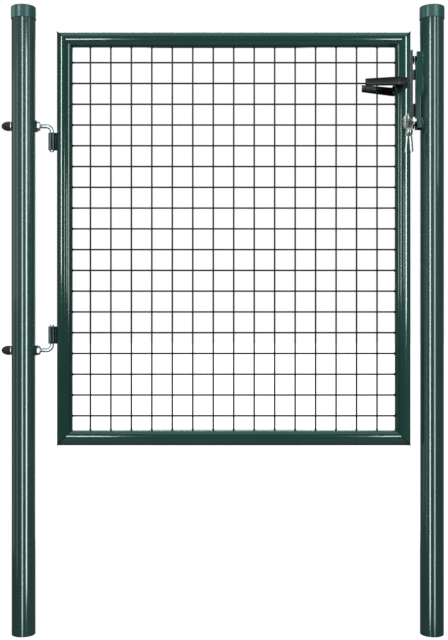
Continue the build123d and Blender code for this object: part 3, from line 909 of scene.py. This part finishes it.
def stage():
    """A wide pale floor that melts into the white background."""
    mesh = bpy.data.meshes.new("floor")
    corners = [(FLOOR_REACH * x, FLOOR_REACH * y, 0) for x, y in ((-1, -1), (1, -1), (1, 1), (-1, 1))]
    mesh.from_pydata(corners, [], [(0, 1, 2, 3)])
    floor = bpy.data.objects.new("floor", mesh)
    scene.collection.objects.link(floor)
    pale = bpy.data.materials.new("pale_floor")
    pale.use_nodes = True
    nodes = pale.node_tree.nodes
    link = pale.node_tree.links.new
    shader = nodes["Principled BSDF"]
    shader.inputs["Base Color"].default_value = (0.86, 0.86, 0.86, 1)
    shader.inputs["Roughness"].default_value = 0.9
    shader.inputs["Emission Color"].default_value = (1, 1, 1, 1)
    spot = nodes.new("ShaderNodeTexCoord")
    middle = nodes.new("ShaderNodeVectorMath")
    middle.operation = "DISTANCE"
    middle.inputs[1].default_value = FLOOR_MIDDLE
    link(spot.outputs["Object"], middle.inputs[0])
    glow = nodes.new("ShaderNodeMapRange")
    glow.inputs["From Min"].default_value = 0.7
    glow.inputs["From Max"].default_value = 2.2
    glow.inputs["To Min"].default_value = 0.92
    glow.inputs["To Max"].default_value = 1.1
    link(middle.outputs["Value"], glow.inputs["Value"])
    link(glow.outputs["Result"], shader.inputs["Emission Strength"])
    mesh.materials.append(pale)
    floor.visible_glossy = False
    floor.visible_diffuse = False


def surroundings():
    """White for the camera, a dim grey room for everything that reflects."""
    world = bpy.data.worlds.new("studio")
    world.use_nodes = True
    nodes = world.node_tree.nodes
    link = world.node_tree.links.new
    nodes.clear()
    seen = nodes.new("ShaderNodeBackground")
    seen.inputs["Color"].default_value = (1, 1, 1, 1)
    seen.inputs["Strength"].default_value = 1.0
    room = nodes.new("ShaderNodeBackground")
    room.inputs["Color"].default_value = (0.92, 0.97, 1.0, 1)
    room.inputs["Strength"].default_value = 0.16
    path = nodes.new("ShaderNodeLightPath")
    mix = nodes.new("ShaderNodeMixShader")
    out = nodes.new("ShaderNodeOutputWorld")
    link(path.outputs["Is Camera Ray"], mix.inputs["Fac"])
    link(room.outputs["Background"], mix.inputs[1])
    link(seen.outputs["Background"], mix.inputs[2])
    link(mix.outputs["Shader"], out.inputs["Surface"])
    scene.world = world


def softbox(name, spot, size, radiance, lit=(), aim=None):
    """A rectangular softbox that faces the gate; it may light only the pieces named."""
    data = bpy.data.lights.new(name, "AREA")
    data.shape = "RECTANGLE"
    data.size, data.size_y = size
    data.energy = math.pi * radiance * size[0] * size[1]
    data.color = COOL
    light = bpy.data.objects.new(name, data)
    scene.collection.objects.link(light)
    light.location = spot
    target = aim or Vector((LEAF_MIDDLE_X, 0, spot[2]))
    light.rotation_euler = (target - light.location).to_track_quat("-Z", "Y").to_euler()
    light.visible_camera = False
    if lit:
        group = bpy.data.collections.new(f"{name}_pieces")
        for piece in scene.objects:
            if any(piece.name.startswith(start) for start in lit):
                group.objects.link(piece)
        light.light_linking.receiver_collection = group


def lights():
    """Softboxes where the highlights on each group of pieces say they stood."""
    posts = ("hinge_post_tube", "latch_post_tube")
    rails = ("top_rail", "bottom_rail")
    uprights = posts + ("hinge_stile", "latch_stile")
    tubes = uprights + rails
    caps = ("hinge_post_cap", "latch_post_cap")
    keys = ("lock_key", "left_spare", "right_spare")
    rods = ("upper_hinge_bolt", "lower_hinge_bolt", "upper_hinge_nut", "lower_hinge_nut",
            "upper_cap_washer", "lower_cap_washer")
    barrels = ("upper_hinge_barrel", "lower_hinge_barrel")
    front_handle = ("front_lever", "front_rosette")
    fittings = keys + caps + front_handle + (
        "back_spare", "key_ring", "forend_screws", "rear_lever", "rear_rosette", "lock", "latch_bolt",
        "dead_bolt", "strike_keep", "upper", "lower", "corner_welds", "mesh_panel")
    front = Vector((LEAF_MIDDLE_X, 0, 0.9))
    leaf_middle = Vector((LEAF_MIDDLE_X, 0, 1.2))
    softbox("hinge_post_left", (-0.02, -1.91, 0.76), (0.36, 2.7), 11.5, ("hinge_post_tube",))
    softbox("hinge_post_right", (1.58, -1.95, 0.76), (0.56, 2.7), 15.5, ("hinge_post_tube",))
    softbox("latch_post_left", (-0.02, -1.91, 0.76), (0.36, 2.7), 17.5, ("latch_post_tube",))
    softbox("latch_post_right", (1.55, -1.95, 0.76), (0.48, 2.7), 8.5, ("latch_post_tube",))
    softbox("posts_far_left", (-2.2, -1.6, 0.8), (0.6, 2.6), 1.2, posts)
    softbox("hinge_post_side", (-2.4, -0.75, 1.6), (3.1, 1.5), 0.5, ("hinge_post_tube",))
    softbox("posts_far_right", (1.91, -0.86, 1.75), (0.25, 1.0), 3.6, posts)
    softbox("tubes_wash", (LEAF_MIDDLE_X, -1.3, 2.5), (2.2, 0.4), 3.0, uprights, aim=leaf_middle)
    softbox("frame_sheen", (0.5, -2.2, 1.6), (7.0, 1.5), 0.2, posts)
    softbox("rails_wash_left", (-2.5, -1.6, 1.4), (1.5, 2.0), 6, rails)
    softbox("rails_wash_right", (3.5, -1.6, 1.4), (1.5, 2.0), 6, rails)
    softbox("rails_top_left", (-2.2, -0.8, 3.0), (1.5, 1.5), 9, rails, aim=leaf_middle)
    softbox("rails_top_right", (3.2, -0.8, 3.0), (1.5, 1.5), 9, rails, aim=leaf_middle)
    softbox("rails_floor", (0.5, -0.9, 0.06), (4.0, 1.8), 0.22, rails, aim=Vector((0.5, -0.9, 2.0)))
    softbox("hinge_stile_far_left", (-1.42, -1.60, 1.58), (0.45, 1.24), 19, ("hinge_stile",))
    softbox("hinge_stile_middle", (0.22, -2.10, 1.20), (0.20, 0.62), 11, ("hinge_stile",))
    softbox("hinge_stile_right", (1.39, -1.65, 1.13), (0.26, 0.48), 12, ("hinge_stile",))
    softbox("hinge_stile_far_right", (2.09, -0.93, 1.50), (0.46, 1.40), 8, ("hinge_stile",))
    softbox("latch_stile_far_left", (-1.10, -0.80, 1.53), (0.42, 1.36), 5.5, ("latch_stile",))
    softbox("latch_stile_left", (-0.17, -1.80, 1.28), (0.34, 0.84), 10, ("latch_stile",))
    softbox("latch_stile_middle", (1.30, -2.06, 1.13), (0.24, 0.48), 9, ("latch_stile",))
    softbox("latch_stile_right", (2.46, -1.57, 1.48), (0.46, 1.44), 25, ("latch_stile",))
    softbox("rails_left", (-0.16, -2.0, 1.30), (0.28, 0.50), 16, rails)
    softbox("rails_right", (1.285, -2.0, 1.30), (0.23, 0.50), 16, rails)
    softbox("caps_left", (-1.17, -1.87, 2.1), (0.32, 1.0), 17, caps)
    softbox("caps_side", (-2.4, 0.2, 2.0), (1.4, 1.2), 2.0, caps)
    softbox("caps_front", (0.9, -2.6, 2.2), (3.4, 1.2), 0.8, caps)
    softbox("caps_right", (1.7, -1.54, 2.1), (1.2, 1.0), 1.2, caps)
    softbox("keep_front", (1.5, -2.6, 1.4), (1.2, 0.9), 1.0, ("strike_keep",))
    softbox("keep_wash", (0.95, -2.0, 3.0), (1.5, 1.5), 13, ("strike_keep",))
    softbox("barrels_left", (-1.73, -0.88, 1.0), (1.0, 1.4), 5, barrels)
    softbox("barrels_right", (1.65, -1.23, 1.0), (0.45, 1.4), 4, barrels)
    softbox("handle_front", (0.3, -2.7, 1.45), (2.2, 0.9), 1.6, front_handle)
    softbox("handle_line", (0.58, -2.6, 1.32), (0.14, 0.9), 14, front_handle)
    softbox("metal_front", (0.35, -2.6, 1.1), (5.0, 3.4), 1.9, rods + keys)
    softbox("keys_back", (0.3, 3.2, 1.1), (4.0, 2.6), 1.4, keys)
    softbox("keys_left", (-1.7, 1.9, 1.6), (2.2, 1.8), 2.2, keys)
    softbox("fittings_right", (2.4, -2.6, 2.4), (1.2, 1.2), 4, fittings, aim=front)
    softbox("fittings_left", (-1.6, -2.8, 2.2), (1.0, 1.0), 2.5, fittings, aim=front)
    softbox("fittings_rear", (0.6, 3.2, 2.3), (1.6, 1.0), 2.0, fittings, aim=front)
    softbox("panel_left", (-2.6, 0.3, 0.8), (1.8, 2.4), 0.45)
    softbox("rear_wash", (LEAF_MIDDLE_X, 2.0, 3.4), (3.0, 1.6), 6.5, tubes)
    softbox("rear_right", (1.15, 2.7, 0.9), (0.5, 2.6), 2.0, tubes)
    softbox("rear_left", (-0.15, 2.7, 0.9), (0.5, 2.6), 2.0, tubes)
    softbox("above", (LEAF_MIDDLE_X, -0.4, 3.2), (2.6, 2.0), 0.85, aim=front)


def camera():
    """Square to the gate, at the height of the picture's middle."""
    data = bpy.data.cameras.new("photo_camera")
    seer = bpy.data.objects.new("photo_camera", data)
    scene.collection.objects.link(seer)
    seer.location = ((IMAGE[0] / 2 - ORIGIN_PIXEL[0]) * LEAF_SCALE, -CAMERA_DISTANCE,
                     (ORIGIN_PIXEL[1] - IMAGE[1] / 2) * LEAF_SCALE)
    seer.rotation_euler = (math.pi / 2, 0, 0)
    data.sensor_width = SENSOR
    data.sensor_fit = "AUTO"
    data.lens = CAMERA_DISTANCE / LEAF_SCALE / IMAGE[1] * SENSOR
    scene.camera = seer


stage()
surroundings()
lights()
camera()
scene.view_settings.view_transform = "Standard"
